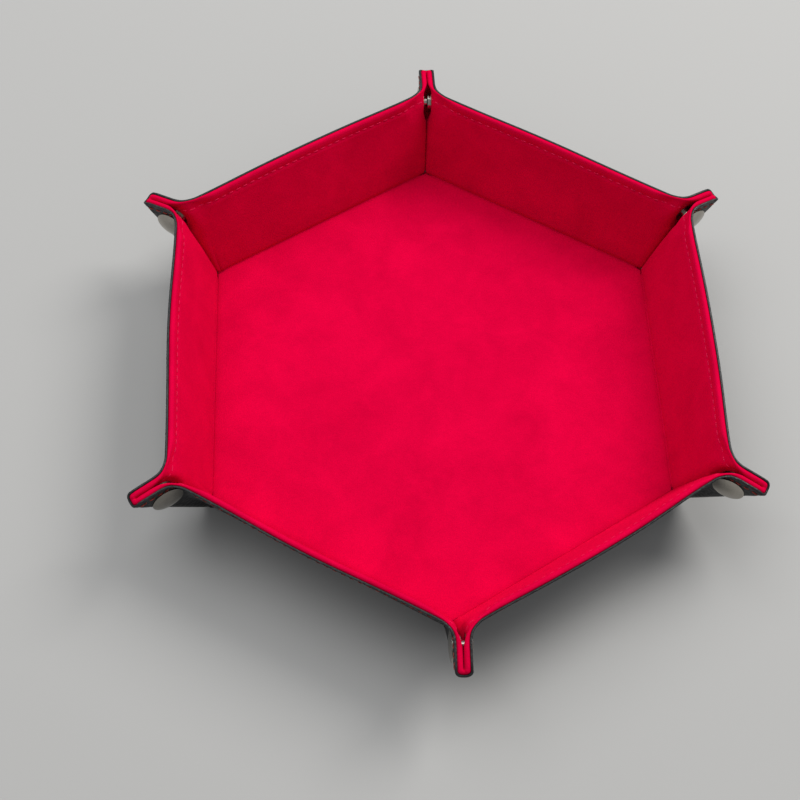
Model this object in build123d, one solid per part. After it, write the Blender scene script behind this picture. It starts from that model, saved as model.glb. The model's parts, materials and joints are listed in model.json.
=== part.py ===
"""Folding dice tray: a hexagonal mat of leather, stiffener boards and velvet whose six walls fold up
and whose six corner gussets pinch together and fasten with snaps.

Every piece is drawn in the flat, unfolded mat (leather face down on z = 0) and then folded about the
same lines that the real mat folds about, so the snapped shape and the flat shape both fit exactly.
Millimetres and degrees, +Z up, origin at the centre of the underside.
"""

import os
from math import acos, atan, cos, degrees, radians, sin, sqrt, tan

from build123d import *

# Driving dimensions
SIDES = 6
FOLD_APOTHEM = 91.85  # centre to the fold line between base and wall
WALL_WIDTH = 40.15  # fold line to rim
WALL_ANGLE = 72.0  # slope of a raised wall above the table
LEATHER = 0.8
BOARD = 0.8
VELVET = 1.2
GUSSET_OFFSET = 3.2  # middle of a pinched corner to its leather face
CORNER_RADIUS = 9.0  # rounding of the mat's six corners

# Clearances at the folds
EDGE_GAP = 0.15  # half the slit left between two pieces that meet at a fold
LEATHER_SETBACK = 1.0  # leather that closes on itself in a gusset fold stops this far from the line
VELVET_SETBACK = 1.2  # velvet that closes on itself in a base fold stops this far from the line
BOARD_SETBACK = 2.0  # boards stop well short of every fold
OPEN_SETBACK = 0.8  # extra room at the fold that is left open in the linkage
BOARD_RIM_SETBACK = 5.0  # the rim seam runs outside the wall boards
GUSSET_START = 6.0  # corner of the base to the first full width of a gusset

# Snap fasteners
SNAP_ALONG = 32.0  # corner of the base to the snap, along the corner's crease
SNAP_FROM_CREASE = 6.35
CAP_RADIUS = 6.2
CAP_RIM = 0.45
CAP_HEIGHT = 1.25
CAP_CROWN = (0.55, 0.26)  # a point of the dome: share of the radius, share of the drop to the rim
POST_RADIUS = 1.25
POST_HOLE_RADIUS = 1.35
POST_HEAD_RADIUS = 2.0
POST_HEAD = 0.25
SEAT = 1.3  # height above the leather face at which the inner half sits in the velvet
SEAT_RECESS = 0.05
FLANGE_RADIUS = 4.5
FLANGE = 0.45
SEAT_HOLE_RADIUS = FLANGE_RADIUS + 0.1
SOCKET_RADIUS = 3.6
SOCKET_BORE_RADIUS = 2.45
SOCKET_FLOOR = 0.35
SOCKET_TOP = 3.0
SOCKET_POST_TOP = 1.95
STUD_NECK_RADIUS = 1.75
STUD_HEAD_RADIUS = 2.2
STUD_HEAD_START = 3.1
STUD_HEAD_END = 4.0
STUD_TOP = 4.3
STUD_TIP_RADIUS = 1.5
STUD_POST_TOP = 2.6
STUD_BORE_TOP = 2.7
SMALL_GAP = 0.05

# What follows from them
THICKNESS = LEATHER + BOARD + VELVET
HINGE_HEIGHT = THICKNESS / 2  # the laminate folds about its middle
HALF_TURN = 180.0 / SIDES
CORNER_X = FOLD_APOTHEM / cos(radians(HALF_TURN))
HALF_EDGE = FOLD_APOTHEM * tan(radians(HALF_TURN))
MAT_CORNER = WALL_WIDTH / cos(radians(HALF_TURN))  # base corner to the mat's sharp corner
# The line where two raised walls would meet leans this far from square, measured in the wall.
LEAN = degrees(atan(cos(radians(WALL_ANGLE)) * tan(radians(HALF_TURN))))
GUSSET_SECTOR = HALF_TURN - LEAN
# A gusset lies in a plane beside the corner's middle plane, so it starts a little along the base edge.
EDGE_SHIFT = (GUSSET_OFFSET - HINGE_HEIGHT) / cos(radians(HALF_TURN))
GUSSET_ANGLE = degrees(acos(sin(radians(WALL_ANGLE)) * sin(radians(HALF_TURN))))
CREASE_ANGLE = 180.0

# Fold lines in a corner's own flat frame: base corner at the origin, crease along +X, wall on the -Y side
WALL_FOLD = Axis(
    (0, 0, HINGE_HEIGHT),
    (-sin(radians(HALF_TURN)), -cos(radians(HALF_TURN)), 0),
)
GUSSET_FOLD = Axis(
    (-EDGE_SHIFT * sin(radians(HALF_TURN)), -EDGE_SHIFT * cos(radians(HALF_TURN)), HINGE_HEIGHT),
    (-cos(radians(GUSSET_SECTOR)), sin(radians(GUSSET_SECTOR)), 0),
)
CREASE_FOLD = Axis((0, 0, GUSSET_OFFSET), (1, 0, 0))
# The base fold in a wall's own flat frame: middle of the fold line at the origin, rim along +X
BASE_FOLD = Axis((0, 0, HINGE_HEIGHT), (0, -1, 0))


def layer(outline, bottom, top):
    """A flat piece between two heights, from the edges of its outline."""
    return Pos(0, 0, bottom) * extrude(make_face(outline), top - bottom)


def turned(points):
    """A solid of revolution about Z, from the (radius, height) corners of its half section."""
    outline = Polyline([(radius, 0, height) for radius, height in points], close=True)
    return revolve(make_face(outline), Axis.Z)


def base_piece(setback, bottom, top):
    """One hexagonal layer of the base, with its flats facing +X and -X."""
    hexagon = RegularPolygon(FOLD_APOTHEM - setback, SIDES, major_radius=False, rotation=HALF_TURN)
    return Pos(0, 0, bottom) * extrude(hexagon, top - bottom)


def wall_piece(setbacks, bottom, top):
    """One layer of a wall, flat, set back from its base fold, its two gusset folds and its rim."""
    fold_setback, side_setback, rim_setback = setbacks

    def half_width(x):
        lean = radians(LEAN)
        return HALF_EDGE - EDGE_SHIFT + x * tan(lean) - side_setback / cos(lean)

    low, high = fold_setback, WALL_WIDTH - rim_setback
    corners = [
        (low, -half_width(low)),
        (high, -half_width(high)),
        (high, half_width(high)),
        (low, half_width(low)),
    ]
    return layer(Polyline(corners, close=True), bottom, top)


def raise_wall(shape, number):
    """Folds a wall's flat piece up to its slope and puts it on its side of the base."""
    folded = shape.rotate(BASE_FOLD, WALL_ANGLE)
    return Rot(0, 0, 2 * HALF_TURN * (number - 1)) * Pos(FOLD_APOTHEM, 0, 0) * folded


def gusset_piece(setback, bottom, top):
    """One layer of a gusset on the -Y side of its crease, flat, with the mat's rounded corner."""
    sector, half = radians(GUSSET_SECTOR), radians(HALF_TURN)

    def fold_y(x):
        along = x + EDGE_SHIFT * sin(half)
        return -EDGE_SHIFT * cos(half) - along * tan(sector) + setback / cos(sector)

    # The rim line is cos(half) x - sin(half) y = WALL_WIDTH, and the fold line is fold_y.
    rim_x = (WALL_WIDTH + sin(half) * fold_y(0)) / (cos(half) + sin(half) * tan(sector))
    centre_x = MAT_CORNER - CORNER_RADIUS / cos(half)
    tangent = (centre_x + CORNER_RADIUS * cos(half), -CORNER_RADIUS * sin(half))
    middle = (
        centre_x + CORNER_RADIUS * cos(half / 2),
        -CORNER_RADIUS * sin(half / 2),
    )
    tip = (centre_x + sqrt(CORNER_RADIUS**2 - EDGE_GAP**2), -EDGE_GAP)
    outline = [
        Line((GUSSET_START, fold_y(GUSSET_START)), (rim_x, fold_y(rim_x))),
        Line((rim_x, fold_y(rim_x)), tangent),
        ThreePointArc(tangent, middle, tip),
        Line(tip, (GUSSET_START, -EDGE_GAP)),
        Line((GUSSET_START, -EDGE_GAP), (GUSSET_START, fold_y(GUSSET_START))),
    ]
    return layer(outline, bottom, top)


def snap_place():
    return Pos(SNAP_ALONG, -SNAP_FROM_CREASE, 0)


def gusset_leather(setback):
    return gusset_piece(setback, 0, LEATHER) - snap_place() * Cylinder(
        POST_HOLE_RADIUS, THICKNESS * 2
    )


def gusset_velvet(setback):
    """The velvet of a gusset, with the snap's hole and the recess that the clinched half presses."""
    top = LEATHER + VELVET
    recess_bottom = SEAT - SEAT_RECESS
    recess = Pos(0, 0, (recess_bottom + THICKNESS) / 2) * Cylinder(
        SEAT_HOLE_RADIUS, THICKNESS - recess_bottom
    )
    hole = Cylinder(POST_HOLE_RADIUS, THICKNESS * 2)
    return gusset_piece(setback, LEATHER, top) - snap_place() * (recess + hole)


def snap_cap(post_top, head_radius):
    """A domed cap on the leather with its post through the laminate, its end spread to head_radius."""
    crown_radius, crown_drop = CAP_CROWN
    dome = ThreePointArc(
        (0, 0, -CAP_HEIGHT),
        (CAP_RADIUS * crown_radius, 0, -CAP_HEIGHT + (CAP_HEIGHT - CAP_RIM) * crown_drop),
        (CAP_RADIUS, 0, -CAP_RIM),
    )
    head_bottom = post_top - POST_HEAD
    corners = [
        (CAP_RADIUS, 0, -CAP_RIM),
        (CAP_RADIUS, 0, 0),
        (POST_RADIUS, 0, 0),
        (POST_RADIUS, 0, head_bottom),
        (head_radius, 0, head_bottom),
        (head_radius, 0, post_top),
        (0, 0, post_top),
        (0, 0, -CAP_HEIGHT),
    ]
    if head_radius == POST_RADIUS:
        corners = corners[:3] + corners[5:]
    return revolve(make_face([dome, Polyline(corners)]), Axis.Z)


def snap_socket():
    """The socket half: its cap, and the cupped ring that the stud enters."""
    ring = turned(
        [
            (POST_HOLE_RADIUS, SEAT),
            (FLANGE_RADIUS, SEAT),
            (FLANGE_RADIUS, SEAT + FLANGE),
            (SOCKET_RADIUS, SEAT + FLANGE),
            (SOCKET_RADIUS, SOCKET_TOP),
            (SOCKET_BORE_RADIUS, SOCKET_TOP),
            (SOCKET_BORE_RADIUS, SEAT + SOCKET_FLOOR),
            (POST_HOLE_RADIUS, SEAT + SOCKET_FLOOR),
        ]
    )
    return [snap_cap(SOCKET_POST_TOP, POST_HEAD_RADIUS), ring]


def snap_stud():
    """The stud half: its cap, and the headed stud on its flange."""
    stud = turned(
        [
            (POST_RADIUS + SMALL_GAP, SEAT),
            (FLANGE_RADIUS, SEAT),
            (FLANGE_RADIUS, SEAT + FLANGE),
            (STUD_NECK_RADIUS, SEAT + FLANGE),
            (STUD_NECK_RADIUS, STUD_HEAD_START),
            (STUD_HEAD_RADIUS, STUD_HEAD_START + STUD_HEAD_RADIUS - STUD_NECK_RADIUS),
            (STUD_HEAD_RADIUS, STUD_HEAD_END),
            (STUD_TIP_RADIUS, STUD_TOP),
            (0, STUD_TOP),
            (0, STUD_BORE_TOP),
            (POST_RADIUS + SMALL_GAP, STUD_BORE_TOP),
        ]
    )
    return [snap_cap(STUD_POST_TOP, POST_RADIUS), stud]


def fold_corner(shape, side, number):
    """Folds a flat piece of a corner to the snapped shape. Side a hangs on the wall, side b on side a."""
    if side == "b":
        shape = shape.mirror(Plane.XZ).rotate(CREASE_FOLD, CREASE_ANGLE)
    folded = shape.rotate(GUSSET_FOLD, GUSSET_ANGLE).rotate(WALL_FOLD, WALL_ANGLE)
    turn = HALF_TURN + 2 * HALF_TURN * (number - 1)
    return Rot(0, 0, turn) * Pos(CORNER_X, 0, 0) * folded


def base_pieces():
    board_top = LEATHER + BOARD
    return {
        "base_leather": base_piece(EDGE_GAP, 0, LEATHER),
        "base_board": base_piece(BOARD_SETBACK, LEATHER, board_top),
        "base_velvet": base_piece(VELVET_SETBACK, board_top, THICKNESS),
    }


def wall_pieces(number):
    """The three layers of one wall; wall 1 faces +X and the numbers run anticlockwise from above."""
    board_top = LEATHER + BOARD
    flat = {
        "leather": wall_piece((EDGE_GAP, LEATHER_SETBACK, 0), 0, LEATHER),
        "board": wall_piece((BOARD_SETBACK, BOARD_SETBACK, BOARD_RIM_SETBACK), LEATHER, board_top),
        "velvet": wall_piece((VELVET_SETBACK, EDGE_GAP, 0), board_top, THICKNESS),
    }
    return {f"wall_{name}_{number}": raise_wall(piece, number) for name, piece in flat.items()}


def corner_pieces(number):
    """The gussets and snap halves between wall number and the next wall."""
    pieces = {}
    for side, open_setback, snap_name, snap_half in (
        ("a", 0, "snap_socket", snap_socket()),
        ("b", OPEN_SETBACK, "snap_stud", snap_stud()),
    ):
        leather = gusset_leather(LEATHER_SETBACK + open_setback)
        velvet = gusset_velvet(EDGE_GAP + open_setback)
        pieces[f"gusset_leather_{number}{side}"] = fold_corner(leather, side, number)
        pieces[f"gusset_velvet_{number}{side}"] = fold_corner(velvet, side, number)
        halves = [fold_corner(snap_place() * solid, side, number) for solid in snap_half]
        pieces[f"{snap_name}_{number}"] = Compound(children=halves)
    return pieces


def main():
    os.makedirs("parts", exist_ok=True)
    pieces = base_pieces()
    for number in range(1, SIDES + 1):
        pieces |= wall_pieces(number) | corner_pieces(number)
    for name, piece in pieces.items():
        export_step(piece, f"parts/{name}.step")


if __name__ == "__main__":
    main()
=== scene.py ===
"""The looks of a folding dice tray: velvet and leather skins that bend at the folds, red seams,
nickel snaps, soft daylight. Shapes are drawn on the flat mat in millimetres and folded here, because
the real tray is one flat laminate folded up; meshes are written in metres, in the frame's place.

A petal is one sixth of the mat outside the base: a wall with half a gusset at each end.
Its flat frame: a runs outwards from the base fold, b along the fold, v up from the leather's face.
"""

import json
from math import acos, atan, cos, exp, pi, radians, sin, sqrt, tan

import bpy
import numpy as np
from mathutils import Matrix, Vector


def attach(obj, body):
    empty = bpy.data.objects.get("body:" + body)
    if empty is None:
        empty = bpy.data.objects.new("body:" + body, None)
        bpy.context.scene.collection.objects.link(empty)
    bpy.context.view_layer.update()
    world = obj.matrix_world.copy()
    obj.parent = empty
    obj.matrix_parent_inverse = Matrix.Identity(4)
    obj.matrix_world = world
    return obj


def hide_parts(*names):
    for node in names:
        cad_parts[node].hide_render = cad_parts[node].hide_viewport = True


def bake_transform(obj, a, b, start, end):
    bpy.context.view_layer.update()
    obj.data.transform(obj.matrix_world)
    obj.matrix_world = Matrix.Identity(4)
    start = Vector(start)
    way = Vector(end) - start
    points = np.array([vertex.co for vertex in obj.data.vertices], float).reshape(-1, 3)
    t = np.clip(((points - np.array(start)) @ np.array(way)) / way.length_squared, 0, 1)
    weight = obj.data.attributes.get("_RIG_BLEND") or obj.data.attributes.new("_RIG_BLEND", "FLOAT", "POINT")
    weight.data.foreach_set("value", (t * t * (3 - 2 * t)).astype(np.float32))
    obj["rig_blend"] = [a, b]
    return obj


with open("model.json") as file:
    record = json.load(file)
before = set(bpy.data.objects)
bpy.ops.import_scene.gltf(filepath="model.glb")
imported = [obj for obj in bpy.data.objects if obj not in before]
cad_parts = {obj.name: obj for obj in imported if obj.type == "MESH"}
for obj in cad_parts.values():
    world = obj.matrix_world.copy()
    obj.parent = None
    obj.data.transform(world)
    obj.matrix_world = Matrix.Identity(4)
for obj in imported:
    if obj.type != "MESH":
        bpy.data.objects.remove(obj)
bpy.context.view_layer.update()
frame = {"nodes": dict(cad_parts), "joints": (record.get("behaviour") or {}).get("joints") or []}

MM = 0.001
SIDES = 6
HALF_TURN = pi / SIDES
JOINTS = {joint["name"]: joint for joint in frame["joints"]}

# The folded mat, from the frame's first fold and the part's driving dimensions, in millimetres
FOLD_APOTHEM = JOINTS["wall_1_fold"]["pos_m"][0] / MM
HINGE_HEIGHT = JOINTS["wall_1_fold"]["pos_m"][2] / MM
WALL_WIDTH = 40.15  # from the base fold to the rim, along the flat wall
WALL_ANGLE = radians(72)  # above the table
GUSSET_OFFSET = 3.2  # from a gusset's leather face to the pinched corner's middle plane
CORNER_RADIUS = 9.0  # of the mat's corners, in plan
CORNER_CENTRE = (WALL_WIDTH - CORNER_RADIUS) / cos(HALF_TURN)
HALF_EDGE = FOLD_APOTHEM * tan(HALF_TURN)
LEAN = atan(cos(WALL_ANGLE) * tan(HALF_TURN))  # of the gusset fold, away from square to the base
EDGE_SHIFT = (GUSSET_OFFSET - HINGE_HEIGHT) / cos(HALF_TURN)  # of its foot, from the base corner
GUSSET_ANGLE = acos(sin(WALL_ANGLE) * sin(HALF_TURN))
SNAP_PLACE = (32.0, -6.35)  # along the crease and across it

# Heights of the layers over the leather's outer face
LEATHER = 0.8
VELVET_BOTTOM = 0.8
VELVET_TOP = 2.9
BASE_VELVET_BOTTOM = 1.65  # on top of the base board
BOARD_BOTTOM = 0.85
BOARD_TOP = 1.55

# The fold between base and wall
BASE_BEND = 1.6  # radius of the laminate's middle
BASE_TANGENT = BASE_BEND * tan(WALL_ANGLE / 2)
CREASE_DEPTH = 0.8  # the velvet sinks into the fold
CREASE_WIDTH = 1.8

# The fold between wall and gusset, whose half width grows from its foot to the rim
GUSSET_TANGENT = 6.6
GUSSET_TANGENT_LOW = 0.12
GUSSET_GROWTH = 1.35
BASE_SIDE = 9.0  # the base's side of the wall is kept this far from the gusset fold
FAR_FROM_FOLD = 12.0  # beyond this the snap cannot press the wall

# The pinched corner
RIDGE_START = 2.5  # where it starts to turn round its edge
RIDGE_SHARE = 0.7  # the turn takes no more than this share of the gusset
RIDGE_OUT = 0.7  # its edge stands out past the crease
TIP_BULGE = 0.24  # it thickens towards its tip
TIP_BULGE_START = 34.0
TIP_BULGE_LENGTH = 8.0
TIP_NOTCH = 0.5  # the rim dips at the crease
TIP_NOTCH_WIDTH = 0.9
FOOT_LENGTH = 5.0  # it closes up near the base
FOOT_LIFT = 0.35
FOOT_RISE = 2.0
FOOT_SIDE = 6.0
FOOT_SIDE_FADE = 3.0

# The laminate round a snap
SNAP_HOLD = 6.6  # the cap holds it flat this far round its middle
SNAP_LET_GO = 4.2
RECESS_RADIUS = 5.0  # the lining sinks round the snap's rings, and further on the tray's side
RECESS_EDGE = 3.6
RECESS_DEPTH = 1.4
RECESS_STRETCH = 0.42

# The wall between its folds
WALL_BOW = 1.3  # outwards, at the middle of the rim
BOW_GROWTH = 1.5
BOW_VARIETY = 0.5  # share of the bow that differs from wall to wall
WALL_STEP = 2.4  # from one wall to the next, for that variety
RIPPLE = 0.3
RIPPLE_LENGTH = 17.0
RIPPLE_SHIFT = 2.1

# The edge of the mat and its seams
SEAM_DEPTH = 3.75  # velvet seam below the rim
SEAM_GROOVE = 0.42
SEAM_GROOVE_WIDTH = 0.8
LEATHER_SEAM_DEPTH = 2.6
LEATHER_GROOVE = 0.16
LEATHER_GROOVE_WIDTH = 0.7
HEM = 7.0  # the velvet thickens over this depth below the rim
HEM_FADE = 3.0
HEM_SWELL = 0.12
VELVET_RIM_ROUND = 0.9  # of half the velvet's thickness
VELVET_RIM_ROWS = 10
PINCH_SWELL = 0.27  # the lining fills the pinched corner's slit below the snap
PINCH_SWELL_END = 18.0
PINCH_SWELL_FADE = 8.0

# A stitch, as shares of its radius, and its mesh
STITCH_PITCH = 3.4
STITCH_END = 0.35  # thickness at its ends
STITCH_FLATNESS = 0.8
STITCH_LIFT = 0.55  # of its middle over the face
STITCH_DIVE = 1.5  # of its ends below its middle
STITCH_RINGS = 7
STITCH_AROUND = 8


# ---------------------------------------------------------------- folding

def smoothstep(x):
    x = np.clip(x, 0.0, 1.0)
    return x * x * (3 - 2 * x)


def rotated(x, y, angle):
    return x * cos(angle) - y * sin(angle), x * sin(angle) + y * cos(angle)


def fold_line(a):
    """Where the gusset fold crosses the line at a, as b."""
    return HALF_EDGE - EDGE_SHIFT + a * tan(LEAN)


def gusset_tangent(a):
    """Half the width of the gusset fold at a."""
    share = np.clip(a / WALL_WIDTH, 0.0, 1.2)
    return GUSSET_TANGENT_LOW + (GUSSET_TANGENT - GUSSET_TANGENT_LOW) * share**GUSSET_GROWTH


def to_crease(a, b):
    """A petal point as (along the crease, across it), measured from the base corner."""
    x = a * cos(HALF_TURN) + (b - HALF_EDGE) * sin(HALF_TURN)
    y = -a * sin(HALF_TURN) + (b - HALF_EDGE) * cos(HALF_TURN)
    return x, y


def from_crease(x, y):
    a = x * cos(HALF_TURN) - y * sin(HALF_TURN)
    b = HALF_EDGE + x * sin(HALF_TURN) + y * cos(HALF_TURN)
    return a, b


def to_fold(a, b):
    """A petal point as (along the gusset fold, from it into the wall)."""
    across = b - (HALF_EDGE - EDGE_SHIFT)
    return a * cos(LEAN) + across * sin(LEAN), a * sin(LEAN) - across * cos(LEAN)


def from_fold(along, s):
    a = along * cos(LEAN) + s * sin(LEAN)
    b = along * sin(LEAN) - s * cos(LEAN) + HALF_EDGE - EDGE_SHIFT
    return a, b


def base_share(a):
    """0 on the base, 1 on the wall."""
    return np.clip((a + BASE_TANGENT) / (2 * BASE_TANGENT), 0.0, 1.0)


def gusset_share(a, b):
    """0 on the wall, 1 on the gusset."""
    along, s = to_fold(a, b)
    tangent = gusset_tangent(along * cos(LEAN))
    return np.clip((tangent - s) / (2 * tangent), 0.0, 1.0)


def ridge_start(x):
    """How far from the crease the pinched corner starts to turn."""
    width = EDGE_SHIFT * cos(HALF_TURN) + np.clip(x, 0, None) * tan(HALF_TURN - LEAN)
    return np.minimum(RIDGE_START, width * RIDGE_SHARE)


def ridge_share(a, b):
    """0 where the pinched corner is flat, 1 on its very edge."""
    x, y = to_crease(a, b)
    start = ridge_start(x)
    return np.clip((y + start) / start, 0.0, 1.0)


def rim_end(y):
    """How far out, in a, the rim is at the distance y from the crease."""
    y = np.asarray(y, float)
    arc_start = -CORNER_RADIUS * sin(HALF_TURN)
    inside = np.clip(y, arc_start, 0.0)
    x = CORNER_CENTRE + np.sqrt(CORNER_RADIUS**2 - inside**2)
    notch = TIP_NOTCH * np.exp(-((y / TIP_NOTCH_WIDTH) ** 2))
    return np.where(y < arc_start, WALL_WIDTH, x * cos(HALF_TURN) - inside * sin(HALF_TURN) - notch)


def turn_ridge(a, b, v):
    """Turns the gusset round the pinched corner's edge. Returns x, y, v and where it has turned."""
    x, y = to_crease(a, b)
    start = ridge_start(x)
    turned = y > -start
    angle = np.clip((y + start) / start, 0.0, None) * pi / 2
    inner = (GUSSET_OFFSET - v) / GUSSET_OFFSET
    y = np.where(turned, -start + (start + RIDGE_OUT) * inner * np.sin(angle), y)
    bulge = TIP_BULGE * smoothstep((x - TIP_BULGE_START) / TIP_BULGE_LENGTH)
    depth = (GUSSET_OFFSET - v) * np.cos(angle) * (1 + bulge * np.sin(angle))
    v = np.where(turned, GUSSET_OFFSET - depth, v)
    closed = 1 - smoothstep(x / FOOT_LENGTH)
    closed = closed * smoothstep(a / FOOT_RISE) * smoothstep((y + FOOT_SIDE) / FOOT_SIDE_FADE)
    return x, y, v + (GUSSET_OFFSET - v) * FOOT_LIFT * closed, turned


def snap_recess(x, y, v):
    """How far the lining sinks round the snap; the leather does not."""
    velvet_share = np.clip((v - LEATHER) / (VELVET_TOP - LEATHER), 0.0, 1.0)
    stretch = np.where(y < SNAP_PLACE[1], RECESS_STRETCH, 1.0)
    distance = np.hypot(x - SNAP_PLACE[0], (y - SNAP_PLACE[1]) * stretch)
    return velvet_share * RECESS_DEPTH * (1 - smoothstep((distance - RECESS_RADIUS) / RECESS_EDGE))


def wall_bow(a, b, side, wave):
    """How far the wall stands outwards of its plane, between its two gusset folds."""
    share = np.clip(b / (fold_line(a) - GUSSET_TANGENT), 0.0, 1.0)
    height = np.clip(a / WALL_WIDTH, 0.0, 1.0)
    bow = WALL_BOW * (1 + BOW_VARIETY * wave) * height**BOW_GROWTH
    ripple = RIPPLE * np.sin(b * side / RIPPLE_LENGTH + RIPPLE_SHIFT * wave) * height
    return (bow - ripple) * (1 - share**2) ** 2


def bend_gusset(s, n, tangent):
    """Bends across the gusset fold: s is the distance into the wall, n the height."""
    radius = tangent / tan(GUSSET_ANGLE / 2)
    turn = np.clip((tangent - s) / (2 * tangent), 0.0, 1.0) * GUSSET_ANGLE
    bend_s = tangent - (radius + n) * np.sin(turn)
    bend_n = -radius + (radius + n) * np.cos(turn)
    gusset_s, gusset_n = rotated(s, n, GUSSET_ANGLE)
    on_wall = s >= tangent
    on_gusset = s <= -tangent
    new_s = np.where(on_wall, s, np.where(on_gusset, gusset_s, bend_s))
    new_n = np.where(on_wall, n, np.where(on_gusset, gusset_n, bend_n))
    return new_s, new_n


def press_snap(along, s, n, unbent_n):
    """Holds the laminate flat under the snap's cap, in the gusset's own plane."""
    flat_s, flat_n = rotated(s, n, -GUSSET_ANGLE)
    x, y = to_crease(*from_fold(along, flat_s))
    distance = np.hypot(x - SNAP_PLACE[0], y - SNAP_PLACE[1])
    press = 1 - smoothstep((distance - SNAP_HOLD) / SNAP_LET_GO)
    return rotated(flat_s, flat_n + press * np.clip(unbent_n - flat_n, 0, None), GUSSET_ANGLE)


def raise_wall(a, n, on_wall):
    """Bends across the base fold. Returns how far out of the hinge and how far over it."""
    angle = base_share(a) * WALL_ANGLE
    bend_out = -BASE_TANGENT + (BASE_BEND - n) * np.sin(angle)
    bend_up = BASE_BEND - (BASE_BEND - n) * np.cos(angle)
    raised_out, raised_up = rotated(a, n, WALL_ANGLE)
    on_base = a <= -BASE_TANGENT
    bending = (a < BASE_TANGENT) & on_wall
    out = np.where(on_base, a, np.where(bending, bend_out, raised_out))
    up = np.where(on_base, n, np.where(bending, bend_up, raised_up))
    return out, up


def petal(a, b, v, wave=0.0):
    """Folds flat petal points. Returns them at rest, with x outwards from the tray's centre."""
    a, b, v = (np.array(value, float) for value in np.broadcast_arrays(a, b, v))
    side = np.where(b < 0, -1.0, 1.0)
    b = np.abs(b)
    x, y, turned_v, turned = turn_ridge(a, b, v)
    sunk = np.where(turned, 0.0, snap_recess(x, y, v))

    along, s = to_fold(*from_crease(x, y))
    s = np.where(a <= 0, np.maximum(s, BASE_SIDE), s)
    tangent = gusset_tangent(along * cos(LEAN))
    on_wall = s >= tangent
    n = turned_v - HINGE_HEIGHT - sunk
    n = np.where(on_wall, n - wall_bow(a, b, side, wave), n)
    new_s, new_n = press_snap(along, *bend_gusset(s, n, tangent), n)
    far = on_wall & (s > FAR_FROM_FOLD)
    new_s = np.where(far, s, new_s)
    new_n = np.where(far, n, new_n)

    wall_a, wall_b = from_fold(along, new_s)
    wall_a = np.where(a <= 0, a, wall_a)
    wall_b = np.where(a <= 0, b, wall_b)
    out, up = raise_wall(wall_a, new_n, on_wall)
    return np.stack([FOLD_APOTHEM + out, side * wall_b, HINGE_HEIGHT + up], axis=-1)


def place(points, number):
    """Turns a petal's points to wall number."""
    x, y = rotated(points[..., 0], points[..., 1], 2 * HALF_TURN * (number - 1))
    return np.stack([x, y, points[..., 2]], axis=-1)


def fold_up(a, b, v, number):
    """Flat petal points of wall number, as (points at rest, points on the flat mat)."""
    flat = np.stack([FOLD_APOTHEM + a, b, v], axis=-1)
    return place(petal(a, b, v, sin(number * WALL_STEP)), number), place(flat, number)


# ---------------------------------------------------------------- meshes

def make_mesh(name, points, faces, flat, material, sharp=0):
    """A mesh object from millimetre points, with its place on the flat mat kept for the materials.

    The last few faces, as many as sharp says, are shaded flat, and the others smoothly up to them.
    """
    mesh = bpy.data.meshes.new(name)
    mesh.from_pydata((np.asarray(points) * MM).tolist(), [], faces)
    mesh.update()
    attribute = mesh.attributes.new("flat", "FLOAT_VECTOR", "POINT")
    attribute.data.foreach_set("vector", (np.asarray(flat, np.float32) * MM).ravel())
    smooth = len(faces) - sharp
    mesh.polygons.foreach_set("use_smooth", [True] * smooth + [False] * sharp)
    mesh.materials.append(material)
    piece = bpy.data.objects.new(name, mesh)
    bpy.context.scene.collection.objects.link(piece)
    return piece


def grid_faces(columns, rows, flip):
    """Quads of a grid whose rows run round in a loop; the last faces cap both end columns."""
    faces = []
    for column in range(columns - 1):
        for row in range(rows):
            after = (row + 1) % rows
            corners = [column * rows + row, (column + 1) * rows + row]
            corners += [(column + 1) * rows + after, column * rows + after]
            faces.append(corners)
    for start, reverse in ((0, False), ((columns - 1) * rows, True)):
        for row in range(cap_faces(rows)):
            other = rows - 1 - row
            corners = [start + row, start + row + 1, start + other - 1, start + other]
            faces.append(corners[::-1] if reverse else corners)
    return [face[::-1] for face in faces] if flip else faces


def cap_faces(rows):
    """The number of quads that cap one end column."""
    return rows // 2 - 1


def grid_normals(points):
    """Normals of a grid's inner columns, which use the outermost ones as neighbours only."""
    across = points[2:] - points[:-2]
    along = np.empty_like(points)
    along[:, 1:-1] = points[:, 2:] - points[:, :-2]
    along[:, 0] = points[:, 1] - points[:, 0]
    along[:, -1] = points[:, -1] - points[:, -2]
    normals = np.cross(along[1:-1], across)
    return normals / np.linalg.norm(normals, axis=-1, keepdims=True)


def set_weights(piece, body_a, body_b, weights):
    """Lets the piece bend between two bodies, with the second one's share at each point."""
    start = Vector((0, 0, 0))
    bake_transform(piece, body_a, body_b, start=start, end=start + Vector((0, 0, 1)))
    attribute = piece.data.attributes["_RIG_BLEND"]
    attribute.data.foreach_set("value", np.asarray(weights, np.float32).ravel())


def spread(low, high, count, towards=1.0):
    """Numbers from low to high, closer together near high if towards is over 1."""
    t = np.linspace(0, 1, count)
    return low + (high - low) * (1 - (1 - t) ** towards)


def lateral(zone, share, a):
    """b of a column in a zone of the petal: share runs from 0 to 1 across the zone.

    In the wall it runs from -1, in the middle of the open seam, to 1, where the other fold starts.
    """
    tangent = gusset_tangent(a) / cos(LEAN)
    line = fold_line(a)
    crease_b = HALF_EDGE + a * tan(HALF_TURN)
    ridge_b = crease_b - ridge_start(a / cos(HALF_TURN)) / cos(HALF_TURN)
    if zone == "wall":
        base_half = HALF_EDGE + np.minimum(a, 0) * tan(HALF_TURN)
        blend = smoothstep(a / 1.0)
        right = base_half * (1 - blend) + (line - tangent) * blend
        left = base_half * (1 - blend) + line * blend
        return np.where(share > 0, share * right, share * left)
    if zone == "fold":
        return line - tangent + share * 2 * tangent
    if zone == "half_fold":
        return line + share * tangent
    if zone == "gusset":
        return line + tangent + share * (ridge_b - line - tangent)
    return ridge_b + share * (crease_b - ridge_b)


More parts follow.
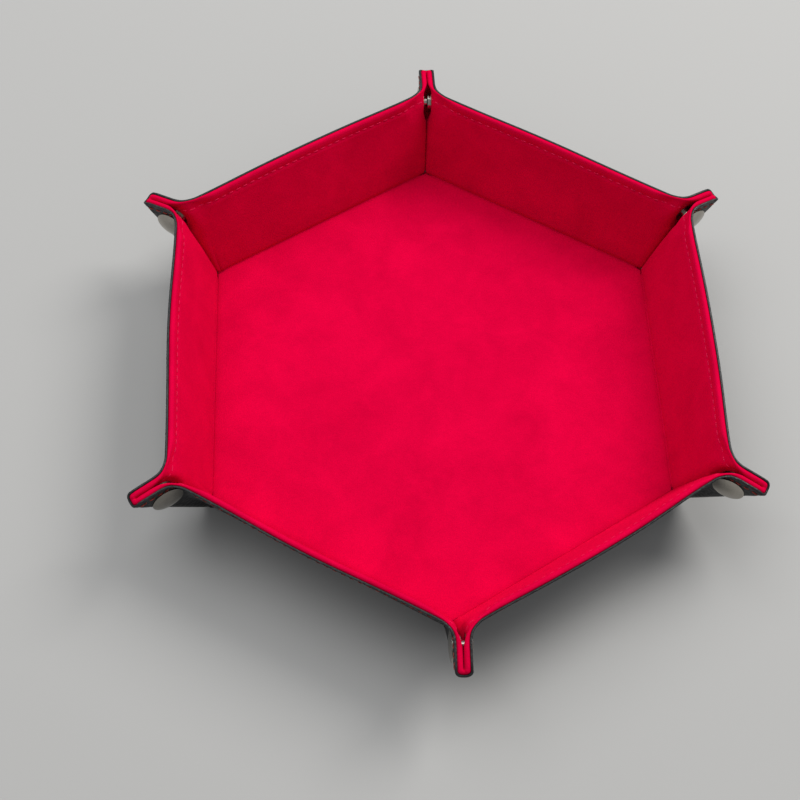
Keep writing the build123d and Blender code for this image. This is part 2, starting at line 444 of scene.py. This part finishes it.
def rim_profile(layer):
    """(inset from the rim, height) of the rows over the rim, from the inner face to the outer."""
    if layer == "velvet":
        middle = (VELVET_TOP + VELVET_BOTTOM) / 2
        half = (VELVET_TOP - VELVET_BOTTOM) / 2
        turns = np.linspace(0, pi, VELVET_RIM_ROWS)
        return [(half * VELVET_RIM_ROUND * (1 - sin(turn)), middle + half * cos(turn))
                for turn in turns]
    return [(0.16, LEATHER), (0.04, LEATHER - 0.08), (0.0, 0.55),
            (0.0, 0.25), (0.04, 0.08), (0.16, 0.0)]


def column_heights(low, rim_inset):
    """Rows of a face from low up to the rim, closer together near the base fold and in the hem."""
    fold_top, hem = 3.0, WALL_WIDTH - HEM
    return np.concatenate([
        spread(low, fold_top, 8),
        spread(fold_top, hem, 12)[1:],
        spread(hem, WALL_WIDTH - rim_inset, 12)[1:],
    ])


def layer_faces(layer, zone, share, rows, inset):
    """Heights of the layer's inner and outer face in one column, with grooves and swellings."""
    if layer == "leather":
        groove = np.exp(-(((inset - LEATHER_SEAM_DEPTH) / LEATHER_GROOVE_WIDTH) ** 2))
        return np.full_like(rows, LEATHER), LEATHER_GROOVE * groove
    groove = np.exp(-(((inset - SEAM_DEPTH) / SEAM_GROOVE_WIDTH) ** 2))
    top = VELVET_TOP + smoothstep((HEM - inset) / HEM_FADE) * HEM_SWELL - SEAM_GROOVE * groove
    across = np.abs(lateral(zone, share, rows))
    pinched = (fold_line(rows) - across) * cos(LEAN) / gusset_tangent(rows)
    below_snap = 1 - smoothstep((rows - PINCH_SWELL_END) / PINCH_SWELL_FADE)
    top = top + PINCH_SWELL * (1 - smoothstep(pinched)) * below_snap
    top = top - CREASE_DEPTH * np.exp(-((rows / CREASE_WIDTH) ** 2))
    return top, np.full_like(rows, VELVET_BOTTOM)


def skin_column(layer, zone, share, low):
    """One column of a skin, up its inner face, over the rim and down: (a, b, v) with b positive."""
    profile = rim_profile(layer)
    rim_inset = profile[0][0]
    heights = column_heights(low, rim_inset)
    end = WALL_WIDTH
    if zone != "wall":
        at_rim = lateral(zone, share, np.array(WALL_WIDTH))
        end = float(rim_end(to_crease(WALL_WIDTH, at_rim)[1]))
    rows = heights * np.where(heights > 0, (end - rim_inset) / (WALL_WIDTH - rim_inset), 1.0)
    inner, outer = layer_faces(layer, zone, share, rows, end - rows)
    rim_a = np.array([end - inset for inset, _ in profile])
    rim_v = np.array([height for _, height in profile])
    a = np.concatenate([rows, rim_a, rows[::-1]])
    return a, lateral(zone, share, a), np.concatenate([inner, rim_v, outer[::-1]])


def skin(name, layer, zones, number, side, low):
    """One layer of part of a petal. zones lists (zone, column shares); side is 1 or -1 in b."""
    columns = [(zone, share) for zone, shares in zones for share in shares]
    before = 2 * columns[0][1] - columns[1][1]
    after = 2 * columns[-1][1] - columns[-2][1]
    columns = [(columns[0][0], before)] + columns + [(columns[-1][0], after)]
    grid = np.array([skin_column(layer, zone, share, low) for zone, share in columns])
    a, b, v = grid[:, 0], grid[:, 1] * side, grid[:, 2]
    points, flat = fold_up(a, b, v, number)
    normals = grid_normals(points) * side
    points, flat, a, b = points[1:-1], flat[1:-1], a[1:-1], b[1:-1]
    column_count, row_count = a.shape
    faces = grid_faces(column_count, row_count, flip=side > 0)
    piece = make_mesh(name, points.reshape(-1, 3), faces, flat.reshape(-1, 3), LAYERS[layer],
                      sharp=2 * cap_faces(row_count))
    piece.data.normals_split_custom_set_from_vertices(normals.reshape(-1, 3).tolist())
    return piece, a.ravel(), b.ravel()


# ---------------------------------------------------------------- materials

class Nodes:
    """A short way to write a node tree."""

    def __init__(self, name):
        self.material = bpy.data.materials.new(name)
        self.material.use_nodes = True
        self.tree = self.material.node_tree
        self.shader = self.tree.nodes["Principled BSDF"]

    def add(self, kind, inputs=(), **settings):
        node = self.tree.nodes.new(kind)
        for key, value in settings.items():
            setattr(node, key, value)
        for key, value in dict(inputs).items():
            self.put(node, key, value)
        return node

    def put(self, node, key, value):
        socket = node.inputs[key]
        if isinstance(value, bpy.types.NodeSocket):
            self.tree.links.new(value, socket)
        else:
            socket.default_value = value

    def flat(self):
        return self.add("ShaderNodeAttribute", attribute_name="flat").outputs["Vector"]

    def noise(self, vector, scale, detail=3.0, rough=0.55, distortion=0.0):
        values = {"Vector": vector, "Scale": scale, "Detail": detail, "Roughness": rough,
                  "Distortion": distortion}
        return self.add("ShaderNodeTexNoise", values).outputs["Fac"]

    def ramp(self, value, stops):
        node = self.add("ShaderNodeValToRGB", {"Fac": value})
        ramp = node.color_ramp
        while len(ramp.elements) < len(stops):
            ramp.elements.new(0.5)
        for element, (position, colour) in zip(ramp.elements, stops):
            element.position = position
            element.color = (*colour, 1.0)
        return node.outputs["Color"]

    def grey(self, value, stops):
        return self.ramp(value, [(position, (level,) * 3) for position, level in stops])

    def mix(self, share, first, second, blend="MIX"):
        inputs = {0: share, 6: first, 7: second}
        return self.add("ShaderNodeMix", inputs, data_type="RGBA", blend_type=blend).outputs[2]

    def math(self, operation, *values):
        return self.add("ShaderNodeMath", dict(enumerate(values)), operation=operation).outputs[0]

    def bump(self, height, distance, strength=1.0, under=None):
        values = {"Height": height, "Distance": distance, "Strength": strength}
        if under is not None:
            values["Normal"] = under
        return self.add("ShaderNodeBump", values).outputs["Normal"]

    def finish(self, **inputs):
        """Sets the shader's inputs, named with underscores for spaces, and returns the material."""
        for key, value in inputs.items():
            self.put(self.shader, key.replace("_", " "), value)
        return self.material


def velvet_material():
    nodes = Nodes("velvet")
    on_mat = nodes.flat()
    patches = nodes.noise(on_mat, scale=34, detail=3.0, rough=0.6, distortion=0.8)
    brushed = nodes.noise(on_mat, scale=110, detail=4.0, rough=0.65, distortion=0.4)
    pile = nodes.noise(on_mat, scale=2600, detail=2.0, rough=0.7)
    tufts = nodes.noise(on_mat, scale=900, detail=3.0, rough=0.6)
    colour = nodes.ramp(patches, [(0.3, (0.62, 0.0006, 0.038)), (0.72, (0.73, 0.0010, 0.047))])
    marks = nodes.grey(brushed, [(0.35, 0.90), (0.6, 1.0)])
    colour = nodes.mix(0.7, colour, marks, "MULTIPLY")
    grain = nodes.grey(pile, [(0.3, 0.72), (0.7, 1.0)])
    colour = nodes.mix(0.55, colour, grain, "MULTIPLY")
    normal = nodes.bump(tufts, distance=0.0003, strength=0.35)
    normal = nodes.bump(pile, distance=0.00025, strength=0.5, under=normal)
    return nodes.finish(
        Base_Color=colour, Normal=normal, Roughness=0.95, Specular_IOR_Level=0.0,
        Sheen_Weight=0.6, Sheen_Roughness=0.4, Sheen_Tint=(0.9, 0.004, 0.06, 1.0),
    )


def leather_material():
    nodes = Nodes("leather")
    on_mat = nodes.flat()
    warp = nodes.noise(on_mat, scale=300, detail=2.0)
    squeeze = {0: on_mat, 1: (1.0, 0.82, 1.0)}
    squeezed = nodes.add("ShaderNodeVectorMath", squeeze, operation="MULTIPLY").outputs[0]
    cells = nodes.add(
        "ShaderNodeTexVoronoi", {"Vector": squeezed, "Scale": 950.0, "Randomness": 0.95},
        feature="SMOOTH_F1",
    ).outputs["Distance"]
    pebble = nodes.grey(cells, [(0.05, 1.0), (0.75, 0.0)])
    wrinkles = nodes.noise(on_mat, scale=420, detail=4.0, rough=0.65, distortion=0.6)
    worn = nodes.noise(on_mat, scale=60, detail=4.0, rough=0.6)
    colour = nodes.ramp(worn, [(0.35, (0.0085, 0.0088, 0.0100)), (0.7, (0.0150, 0.0153, 0.0170))])
    # painted shade: the leather's colour darkens in the hollows between its pebbles and stays full on their
    # crowns
    painted_pebble_shade = nodes.grey(pebble, [(0.0, 0.6), (1.0, 1.0)])
    colour = nodes.mix(0.8, colour, painted_pebble_shade, "MULTIPLY")
    rough = nodes.math("MULTIPLY_ADD", warp, 0.16, 0.36)
    normal = nodes.bump(wrinkles, distance=0.0004, strength=0.30)
    normal = nodes.bump(pebble, distance=0.00028, strength=0.55, under=normal)
    return nodes.finish(Base_Color=colour, Roughness=rough, Normal=normal, Specular_IOR_Level=0.33)


def nickel_material():
    nodes = Nodes("nickel")
    here = nodes.add("ShaderNodeTexCoord").outputs["Object"]
    haze = nodes.noise(here, scale=160, detail=4.0, rough=0.6)
    scratch = nodes.noise(here, scale=1800, detail=2.0, rough=0.6, distortion=1.5)
    colour = nodes.ramp(haze, [(0.3, (0.33, 0.31, 0.27)), (0.7, (0.42, 0.39, 0.35))])
    rough = nodes.grey(haze, [(0.25, 0.17), (0.75, 0.26)])
    normal = nodes.bump(scratch, distance=0.00001, strength=0.15)
    return nodes.finish(Base_Color=colour, Roughness=rough, Metallic=1.0, Normal=normal)


def thread_material(name, ply_groove_shade_colour, light):
    nodes = Nodes(name)
    plies = nodes.add(
        "ShaderNodeTexWave", {"Vector": nodes.flat(), "Scale": 900.0, "Distortion": 1.5},
        bands_direction="DIAGONAL",
    ).outputs["Fac"]
    # painted shade and highlight: the thread's colour is darker in the grooves between its twisted plies and
    # lighter on their crowns
    colour = nodes.ramp(plies, [(0.2, ply_groove_shade_colour), (0.8, light)])
    normal = nodes.bump(plies, distance=0.0001, strength=0.5)
    return nodes.finish(Base_Color=colour, Roughness=0.6, Specular_IOR_Level=0.05, Normal=normal)


def board_material():
    nodes = Nodes("board")
    here = nodes.add("ShaderNodeTexCoord").outputs["Object"]
    fibres = nodes.noise(here, scale=900, detail=5.0, rough=0.7, distortion=1.0)
    colour = nodes.ramp(fibres, [(0.3, (0.20, 0.16, 0.11)), (0.7, (0.32, 0.27, 0.20))])
    normal = nodes.bump(fibres, distance=0.0001, strength=0.4)
    return nodes.finish(Base_Color=colour, Roughness=0.9, Normal=normal)


def floor_material():
    return Nodes("studio_floor").finish(Base_Color=(0.40, 0.395, 0.385, 1.0), Roughness=0.9)


LAYERS = {"velvet": velvet_material(), "leather": leather_material()}
NICKEL = nickel_material()
# each thread: its colour in the painted shade of its ply grooves, then its colour in the painted highlight
# on its ply crowns
RED_THREAD = thread_material("thread", (0.50, 0.002, 0.036), (0.86, 0.020, 0.105))
RUST_THREAD = thread_material("rust_thread", (0.16, 0.020, 0.018), (0.36, 0.070, 0.055))
BOARD = board_material()


# ---------------------------------------------------------------- skins

WALL_COLUMNS = [("wall", spread(-1, 1, 65))]
WEB_A_COLUMNS = [("fold", np.linspace(0, 1, 19)), ("gusset", np.linspace(0, 1, 9)[1:])]
WEB_B_COLUMNS = [("half_fold", np.linspace(0, 1, 10)), ("gusset", np.linspace(0, 1, 9)[1:])]
RIDGE_COLUMNS = [("ridge", np.linspace(0, 1, 11))]
SLAB_RINGS = 34
SLAB_STEPS = 20
SLAB_SPREAD = 1.7


def following(number):
    return number % SIDES + 1


def previous(number):
    return (number - 2) % SIDES + 1


def make_wall(number, layer):
    low = -BASE_TANGENT
    piece, a, _ = skin(f"wall_{number}_{layer}_skin", layer, WALL_COLUMNS, number, 1, low)
    set_weights(piece, "base", f"wall_{number}", base_share(a))
    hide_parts(f"wall_{layer}_{number}")


def make_web_a(number, layer):
    """The near side of corner number, with its whole gusset fold."""
    piece, a, b = skin(f"corner_{number}a_{layer}_skin", layer, WEB_A_COLUMNS, number, 1, 0.0)
    set_weights(piece, f"wall_{number}", f"gusset_{number}a", gusset_share(a, b))
    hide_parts(f"gusset_{layer}_{number}a")


def make_web_b(number, layer):
    """The far side of corner number: it lies on the next wall's petal, cut off from the wall."""
    name = f"corner_{number}b_{layer}_skin"
    piece, _, _ = skin(name, layer, WEB_B_COLUMNS, following(number), -1, 0.0)
    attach(piece, f"gusset_{number}b")
    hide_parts(f"gusset_{layer}_{number}b")


def make_ridge(number, layer):
    """The pinched corner's turned edge, in two halves that meet in the corner's middle plane."""
    for half, petal_number, side in (("near", number, 1), ("far", following(number), -1)):
        name = f"ridge_{number}_{half}_{layer}_skin"
        piece, a, b = skin(name, layer, RIDGE_COLUMNS, petal_number, side, 0.0)
        weights = ridge_share(a, np.abs(b)) / 2
        weights = weights if side > 0 else 1 - weights
        set_weights(piece, f"gusset_{number}a", f"gusset_{number}b", weights)


def hexagon_outline():
    """Points round a hexagon of circumradius 1, SLAB_STEPS to a side."""
    angles = [HALF_TURN + corner * 2 * HALF_TURN for corner in range(SIDES)]
    corners = [np.array([cos(angle), sin(angle)]) for angle in angles]
    return [start + (end - start) * step / SLAB_STEPS
            for start, end in zip(corners, corners[1:] + corners[:1]) for step in range(SLAB_STEPS)]


def slab_face(start, count):
    """Faces of one side of a hexagonal slab, whose middle point is number start."""
    faces = []
    for j in range(count):
        after = (j + 1) % count
        faces.append([start, start + 1 + j, start + 1 + after])
        for ring in range(SLAB_RINGS - 1):
            inner, outer = start + 1 + ring * count, start + 1 + (ring + 1) * count
            faces.append([inner + j, outer + j, outer + after, inner + after])
    return faces


def hexagon_slab(name, apothem, bottom, top, material, wave, dip):
    """A hexagonal slab with rings of points, so that its face can carry a slight unevenness."""
    outline = hexagon_outline()
    count = len(outline)
    circumradius = apothem / cos(HALF_TURN)
    upper, lower = [(0, 0, top + wave(0, 0))], [(0, 0, bottom)]
    for share in spread(0, 1, SLAB_RINGS + 1, SLAB_SPREAD)[1:]:
        from_fold_line = (1 - share) * apothem + BASE_TANGENT
        sunk = dip * exp(-((from_fold_line / CREASE_WIDTH) ** 2))
        for x, y in np.array(outline) * circumradius * share:
            upper.append((x, y, top + wave(x, y) * (1 - share**4) - sunk))
            lower.append((x, y, bottom))
    faces = slab_face(0, count) + [face[::-1] for face in slab_face(len(upper), count)]
    edge_top, edge_bottom = len(upper) - count, len(upper) + len(lower) - count
    for j in range(count):
        after = (j + 1) % count
        faces.append([edge_top + j, edge_bottom + j, edge_bottom + after, edge_top + after])
    points = upper + lower
    return make_mesh(name, points, faces, points, material, sharp=count)


def floor_wave(x, y):
    """The playing surface's broad and fine unevenness."""
    broad = 0.10 * sin(x / 19 + 0.7) * sin(y / 23 + 1.9)
    fine = 0.05 * sin(x / 7.3 + y / 9.1)
    return broad + fine


def make_base():
    apothem = FOLD_APOTHEM - BASE_TANGENT
    for layer, bottom, top, wave, dip in (
        ("velvet", BASE_VELVET_BOTTOM, VELVET_TOP, floor_wave, CREASE_DEPTH),
        ("leather", 0.0, LEATHER, lambda x, y: 0.0, 0.0),
    ):
        piece = hexagon_slab(f"base_{layer}_skin", apothem, bottom, top, LAYERS[layer], wave, dip)
        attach(piece, "base")
        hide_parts(f"base_{layer}")


# ---------------------------------------------------------------- seams

def seam_path(depth):
    """(length, function from a length to (a, b, direction)) of half a petal's seam."""
    arc_start = -CORNER_RADIUS * sin(HALF_TURN)
    straight = from_crease(CORNER_CENTRE + CORNER_RADIUS * cos(HALF_TURN), arc_start)[1]
    radius = CORNER_RADIUS - depth

    def at(distance):
        if distance < straight:
            return WALL_WIDTH - depth, distance, 0.0
        turn = (distance - straight) / radius
        x = CORNER_CENTRE + radius * cos(HALF_TURN - turn)
        return *from_crease(x, -radius * sin(HALF_TURN - turn)), turn

    return straight + radius * HALF_TURN, at


def stitch(length, radius):
    """Points of one stitch round its middle, as (along the seam, out of the tray, off the face)."""
    points = []
    for step in np.linspace(-1, 1, STITCH_RINGS):
        arch = sqrt(max(0.0, 1 - step**6))
        thickness = radius * (STITCH_END + (1 - STITCH_END) * arch)
        lift = radius * (STITCH_LIFT - STITCH_DIVE * step**4)
        for angle in np.linspace(0, 2 * pi, STITCH_AROUND, endpoint=False):
            across, up = thickness * cos(angle), thickness * sin(angle) * STITCH_FLATNESS
            points.append((step * length / 2, across, up + lift))
    return np.array(points)


def stitch_points(depth, face, outwards, length, radius):
    """Flat points of every stitch of a petal, as (middle a, middle b, points)."""
    total, at = seam_path(depth)
    run, across, up = stitch(length, radius).T
    found = []
    count = int((total - STITCH_PITCH / 2) / STITCH_PITCH)
    for index in range(-count, count + 1):
        side = -1 if index < 0 else 1
        a, b, turn = at(abs(index) * STITCH_PITCH)
        b, turn = b * side, turn * side
        point_a = a - run * sin(turn) + across * cos(turn)
        point_b = b + run * cos(turn) + across * sin(turn)
        found.append((a, b, np.stack([point_a, point_b, face + outwards * up], axis=-1)))
    return found


def stitch_faces():
    """Faces of one stitch: rings joined into a tube, with an end face on both ends."""
    faces = []
    for ring in range(0, (STITCH_RINGS - 1) * STITCH_AROUND, STITCH_AROUND):
        for j in range(STITCH_AROUND):
            after = (j + 1) % STITCH_AROUND
            above = ring + STITCH_AROUND
            faces.append([ring + j, above + j, above + after, ring + after])
    last = (STITCH_RINGS - 1) * STITCH_AROUND
    faces.append(list(range(STITCH_AROUND)))
    faces.append(list(range(last, last + STITCH_AROUND))[::-1])
    return faces


def seam_group(a, b):
    """Which part of a petal a stitch belongs to."""
    if b > fold_line(a) - float(gusset_tangent(np.array(a))) / cos(LEAN):
        return "a"
    return "b" if b < -fold_line(a) else "wall"


def make_seams(layer, depth, face, outwards, length, radius, material):
    """One layer's stitches, in one piece for each wall and each side of each corner."""
    single = stitch_faces()
    per_stitch = STITCH_RINGS * STITCH_AROUND
    groups = {"wall": [], "a": [], "b": []}
    for a, b, points in stitch_points(depth, face, outwards, length, radius):
        groups[seam_group(a, b)].append(points)
    for number in range(1, SIDES + 1):
        for group, members in groups.items():
            a, b, v = np.concatenate(members).T
            points, flat = fold_up(a, b, v, number)
            faces = [[vertex + per_stitch * index for vertex in corners]
                     for index in range(len(members)) for corners in single]
            faces = faces if outwards > 0 else [corners[::-1] for corners in faces]
            corner = number if group != "b" else previous(number)
            part = f"wall_{number}" if group == "wall" else f"corner_{corner}{group}"
            piece = make_mesh(f"seam_{layer}_{part}", points, faces, flat, material)
            if group == "wall":
                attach(piece, f"wall_{number}")
            elif group == "b":
                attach(piece, f"gusset_{corner}b")
            else:
                set_weights(piece, f"wall_{number}", f"gusset_{number}a", gusset_share(a, b))


# ---------------------------------------------------------------- boards, feet, snaps

STIFFENER_GRID = (25, 9)
STIFFENER_GAP = 2.0  # to the base fold and to the gusset folds
STIFFENER_BELOW_RIM = 5
FOOT_GRID = (14, 24)
KNOT = ((106.5, 0.0, 2.0), (1.7, 2.2, 1.15))  # centre and half sizes, in the ridge's foot
PAD = ((105.0, 0.0, 0.45), (1.05, 1.5, 0.42))  # the same, under the knot

def make_board(number):
    """A wall's stiffener, hidden between the skins; it takes the wall's bow."""
    columns, rows = STIFFENER_GRID
    heights = np.linspace(STIFFENER_GAP, WALL_WIDTH - STIFFENER_BELOW_RIM, rows)
    width = fold_line(heights) - STIFFENER_GAP / cos(LEAN) - gusset_tangent(heights)
    top, bottom = np.full(rows, BOARD_TOP), np.full(rows, BOARD_BOTTOM)
    a = np.tile(np.concatenate([heights, heights[::-1]]), (columns, 1))
    b = np.linspace(-1, 1, columns)[:, None] * np.concatenate([width, width[::-1]])
    v = np.tile(np.concatenate([top, bottom]), (columns, 1))
    points, flat = fold_up(a, b, v, number)
    faces = grid_faces(columns, 2 * rows, True)
    piece = make_mesh(f"wall_{number}_stiffener", points.reshape(-1, 3), faces,
                      flat.reshape(-1, 3), BOARD, sharp=len(faces))
    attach(piece, f"wall_{number}")
    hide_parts(f"wall_board_{number}")


def ellipsoid(centre, size, first):
    """Points and faces of an ellipsoid. first is the number of points already in the mesh."""
    rings, around = FOOT_GRID
    points = [(0, 0, -1)]
    for ring in range(1, rings):
        latitude = pi * ring / rings
        for j in range(around):
            x, y = cos(2 * pi * j / around), sin(2 * pi * j / around)
            points.append((sin(latitude) * x, sin(latitude) * y, -cos(latitude)))
    points.append((0, 0, 1))
    last = len(points) - 1
    faces = []
    for j in range(around):
        after = (j + 1) % around
        faces.append([0, 1 + after, 1 + j])
        for ring in range(rings - 2):
            start, above = 1 + ring * around, 1 + (ring + 1) * around
            faces.append([start + j, start + after, above + after, above + j])
        faces.append([last - around + j, last - around + after, last])
    faces = [[first + vertex for vertex in face] for face in faces]
    return np.array(points) * np.array(size) + np.array(centre), faces


def make_foot(number):
    """The leather drawn together at a base corner: a knot in the ridge's foot, a pad under it."""
    knot, knot_faces = ellipsoid(*KNOT, 0)
    pad, pad_faces = ellipsoid(*PAD, len(knot))
    points = np.concatenate([knot, pad])
    x, y = rotated(points[:, 0], points[:, 1], HALF_TURN + 2 * HALF_TURN * (number - 1))
    points = np.stack([x, y, points[:, 2]], axis=-1)
    piece = make_mesh(f"corner_{number}_foot", points, knot_faces + pad_faces, points,
                      LAYERS["leather"])
    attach(piece, "base")


def finish_cad(names, material):
    for name in names:
        node = frame["nodes"][name]
        node.data.materials.clear()
        node.data.materials.append(material)


make_base()
for number in range(1, SIDES + 1):
    for layer in LAYERS:
        make_wall(number, layer)
        make_web_a(number, layer)
        make_web_b(number, layer)
        make_ridge(number, layer)
    make_board(number)
    make_foot(number)
make_seams("velvet", depth=SEAM_DEPTH, face=VELVET_TOP - 0.28, outwards=1, length=2.5,
           radius=0.27, material=RED_THREAD)
make_seams("leather", depth=LEATHER_SEAM_DEPTH, face=0.10, outwards=-1, length=2.6,
           radius=0.27, material=RUST_THREAD)
finish_cad(["base_board"], BOARD)
for half in ("socket", "stud"):
    finish_cad([f"snap_{half}_{number}" for number in range(1, SIDES + 1)], NICKEL)


# ---------------------------------------------------------------- stage, light, camera

def make_stage():
    bpy.ops.mesh.primitive_plane_add(size=6.0, location=(0, 0, -0.0001))
    plane = bpy.context.object
    plane.name = "studio_floor"
    plane.data.materials.append(floor_material())


def add_light(name, place_at, aim, size, power, colour):
    data = bpy.data.lights.new(name, "AREA")
    data.shape = "DISK"
    data.size = size
    data.energy = power
    data.color = colour
    light = bpy.data.objects.new(name, data)
    light.location = place_at
    light.rotation_euler = (Vector(aim) - Vector(place_at)).to_track_quat("-Z", "Y").to_euler()
    bpy.context.scene.collection.objects.link(light)


def make_light():
    add_light("window", place_at=(1.0, 0.75, 1.2), aim=(0, 0, 0.02), size=0.9, power=22,
              colour=(1.0, 0.99, 0.97))
    add_light("sky", place_at=(-0.5, 0.6, 1.6), aim=(0, 0, 0), size=1.8, power=20,
              colour=(0.98, 0.99, 1.0))
    world = bpy.data.worlds.new("studio")
    world.use_nodes = True
    background = world.node_tree.nodes["Background"]
    background.inputs["Color"].default_value = (0.95, 0.97, 1.0, 1.0)
    background.inputs["Strength"].default_value = 0.40
    bpy.context.scene.world = world


def make_camera():
    data = bpy.data.cameras.new("camera")
    data.lens = 63.1
    data.sensor_width = 36.0
    camera = bpy.data.objects.new("camera", data)
    camera.location = (-0.0482, -0.2798, 0.5050)
    camera.rotation_euler = (radians(28.31), radians(-2.46), radians(-2.29))
    bpy.context.scene.collection.objects.link(camera)
    bpy.context.scene.camera = camera


make_stage()
make_light()
make_camera()
bpy.context.scene.view_settings.view_transform = "Standard"
